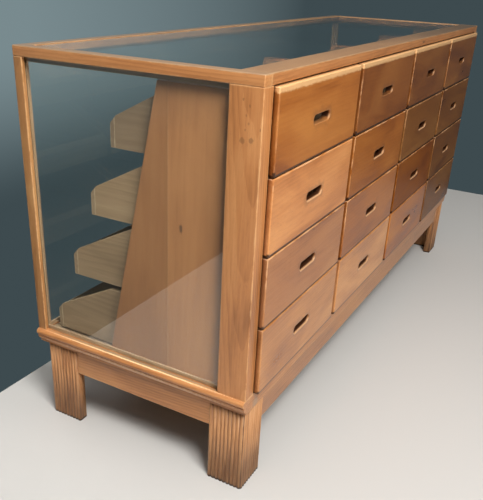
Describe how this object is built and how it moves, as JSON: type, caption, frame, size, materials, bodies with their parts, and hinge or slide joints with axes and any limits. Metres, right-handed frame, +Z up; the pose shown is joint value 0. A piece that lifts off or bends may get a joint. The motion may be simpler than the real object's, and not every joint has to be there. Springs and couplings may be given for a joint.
{
  "type": "haberdashery cabinet",
  "caption": "Glazed oak shop counter on reeded corner legs, with banks of slotted drawers whose trays reach further back in each lower row, so that they show behind the glass.",
  "frame": {"origin": "on the floor, below the centre of the overall plan, from the drawer fronts to the rear posts", "axes": "+X along the counter, +Y towards the customers' side, +Z up; the drawers pull out along -Y"},
  "size_m": [1.837, 0.597, 0.915],
  "materials": {
    "frame_oak": "satin varnish",
    "front_oak": "satin varnish",
    "partition_oak": "worn varnish",
    "tray_wood": "bare wood",
    "inner_wood": "bare wood",
    "glass": "clear"
  },
  "bodies": {
    "cabinet": {"leg_front_left": "frame_oak", "leg_front_right": "frame_oak", "leg_rear_left": "frame_oak", "leg_rear_right": "frame_oak", "end_aprons": "frame_oak", "long_aprons": "frame_oak", "base_moulding_left": "frame_oak", "base_moulding_right": "frame_oak", "base_moulding_front": "frame_oak", "base_moulding_rear": "frame_oak", "stile_left": "frame_oak", "stile_right": "frame_oak", "rear_posts": "frame_oak", "top_rail_left": "frame_oak", "top_rail_right": "frame_oak", "top_rail_front": "frame_oak", "top_rail_rear": "frame_oak", "head_rail": "frame_oak", "glazing_beads": "frame_oak", "floor_panel": "inner_wood", "floor_bearers": "inner_wood", "drawer_runners": "inner_wood", "partition_left": "partition_oak", "partition_right": "partition_oak", "inner_partitions": "partition_oak", "top_glass": "glass", "end_glass": "glass", "rear_glass": "glass"},
    "drawer_r1c1": {"drawer_front_r1c1": "front_oak", "drawer_tray_r1c1": "tray_wood"},
    "drawer_r1c2": {"drawer_front_r1c2": "front_oak", "drawer_tray_r1c2": "tray_wood"},
    "drawer_r1c3": {"drawer_front_r1c3": "front_oak", "drawer_tray_r1c3": "tray_wood"},
    "drawer_r1c4": {"drawer_front_r1c4": "front_oak", "drawer_tray_r1c4": "tray_wood"},
    "drawer_r2c1": {"drawer_front_r2c1": "front_oak", "drawer_tray_r2c1": "tray_wood"},
    "drawer_r2c2": {"drawer_front_r2c2": "front_oak", "drawer_tray_r2c2": "tray_wood"},
    "drawer_r2c3": {"drawer_front_r2c3": "front_oak", "drawer_tray_r2c3": "tray_wood"},
    "drawer_r2c4": {"drawer_front_r2c4": "front_oak", "drawer_tray_r2c4": "tray_wood"},
    "drawer_r3c1": {"drawer_front_r3c1": "front_oak", "drawer_tray_r3c1": "tray_wood"},
    "drawer_r3c2": {"drawer_front_r3c2": "front_oak", "drawer_tray_r3c2": "tray_wood"},
    "drawer_r3c3": {"drawer_front_r3c3": "front_oak", "drawer_tray_r3c3": "tray_wood"},
    "drawer_r3c4": {"drawer_front_r3c4": "front_oak", "drawer_tray_r3c4": "tray_wood"},
    "drawer_r4c1": {"drawer_front_r4c1": "front_oak", "drawer_tray_r4c1": "tray_wood"},
    "drawer_r4c2": {"drawer_front_r4c2": "front_oak", "drawer_tray_r4c2": "tray_wood"},
    "drawer_r4c3": {"drawer_front_r4c3": "front_oak", "drawer_tray_r4c3": "tray_wood"},
    "drawer_r4c4": {"drawer_front_r4c4": "front_oak", "drawer_tray_r4c4": "tray_wood"}
  },
  "joints": [
    {"name": "drawer_slide_r1c1", "type": "slide", "parent": "cabinet", "child": "drawer_r1c1", "axis": [0, -1, 0], "range_m": [0, 0.2559]},
    {"name": "drawer_slide_r1c2", "type": "slide", "parent": "cabinet", "child": "drawer_r1c2", "axis": [0, -1, 0], "range_m": [0, 0.2559]},
    {"name": "drawer_slide_r1c3", "type": "slide", "parent": "cabinet", "child": "drawer_r1c3", "axis": [0, -1, 0], "range_m": [0, 0.2559]},
    {"name": "drawer_slide_r1c4", "type": "slide", "parent": "cabinet", "child": "drawer_r1c4", "axis": [0, -1, 0], "range_m": [0, 0.2559]},
    {"name": "drawer_slide_r2c1", "type": "slide", "parent": "cabinet", "child": "drawer_r2c1", "axis": [0, -1, 0], "range_m": [0, 0.3166]},
    {"name": "drawer_slide_r2c2", "type": "slide", "parent": "cabinet", "child": "drawer_r2c2", "axis": [0, -1, 0], "range_m": [0, 0.3166]},
    {"name": "drawer_slide_r2c3", "type": "slide", "parent": "cabinet", "child": "drawer_r2c3", "axis": [0, -1, 0], "range_m": [0, 0.3166]},
    {"name": "drawer_slide_r2c4", "type": "slide", "parent": "cabinet", "child": "drawer_r2c4", "axis": [0, -1, 0], "range_m": [0, 0.3166]},
    {"name": "drawer_slide_r3c1", "type": "slide", "parent": "cabinet", "child": "drawer_r3c1", "axis": [0, -1, 0], "range_m": [0, 0.3773]},
    {"name": "drawer_slide_r3c2", "type": "slide", "parent": "cabinet", "child": "drawer_r3c2", "axis": [0, -1, 0], "range_m": [0, 0.3773]},
    {"name": "drawer_slide_r3c3", "type": "slide", "parent": "cabinet", "child": "drawer_r3c3", "axis": [0, -1, 0], "range_m": [0, 0.3773]},
    {"name": "drawer_slide_r3c4", "type": "slide", "parent": "cabinet", "child": "drawer_r3c4", "axis": [0, -1, 0], "range_m": [0, 0.3773]},
    {"name": "drawer_slide_r4c1", "type": "slide", "parent": "cabinet", "child": "drawer_r4c1", "axis": [0, -1, 0], "range_m": [0, 0.438]},
    {"name": "drawer_slide_r4c2", "type": "slide", "parent": "cabinet", "child": "drawer_r4c2", "axis": [0, -1, 0], "range_m": [0, 0.438]},
    {"name": "drawer_slide_r4c3", "type": "slide", "parent": "cabinet", "child": "drawer_r4c3", "axis": [0, -1, 0], "range_m": [0, 0.438]},
    {"name": "drawer_slide_r4c4", "type": "slide", "parent": "cabinet", "child": "drawer_r4c4", "axis": [0, -1, 0], "range_m": [0, 0.438]}
  ]
}
